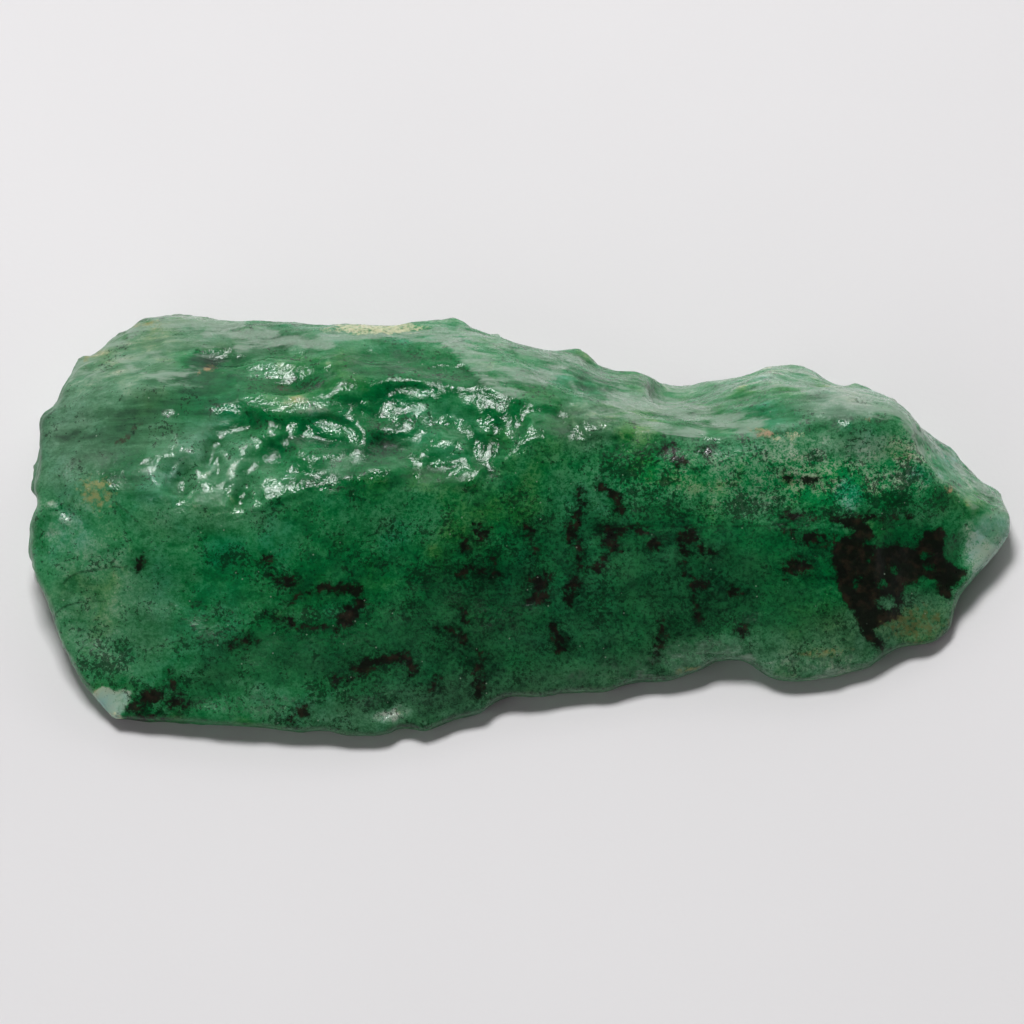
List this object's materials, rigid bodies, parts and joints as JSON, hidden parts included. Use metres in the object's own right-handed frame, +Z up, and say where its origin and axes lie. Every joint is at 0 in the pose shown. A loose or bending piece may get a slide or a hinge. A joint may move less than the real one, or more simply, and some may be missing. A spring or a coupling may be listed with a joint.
{
  "type": "raw fluorite stone",
  "caption": "Rough elongated lump of green fluorite with one broad face, a broken scalloped top, a pointed end and a flat base to rest on",
  "frame": {"origin": "centre of the bounding box in plan, on the flat base", "axes": "+X along the length toward the pointed end, +Y toward the back rim, away from the broad face, +Z up from the base"},
  "size_m": [0.1276, 0.0586, 0.0187],
  "materials": {
    "green_fluorite": "satin"
  },
  "bodies": {
    "root": {"fluorite_lump": "green_fluorite"}
  },
  "joints": []
}
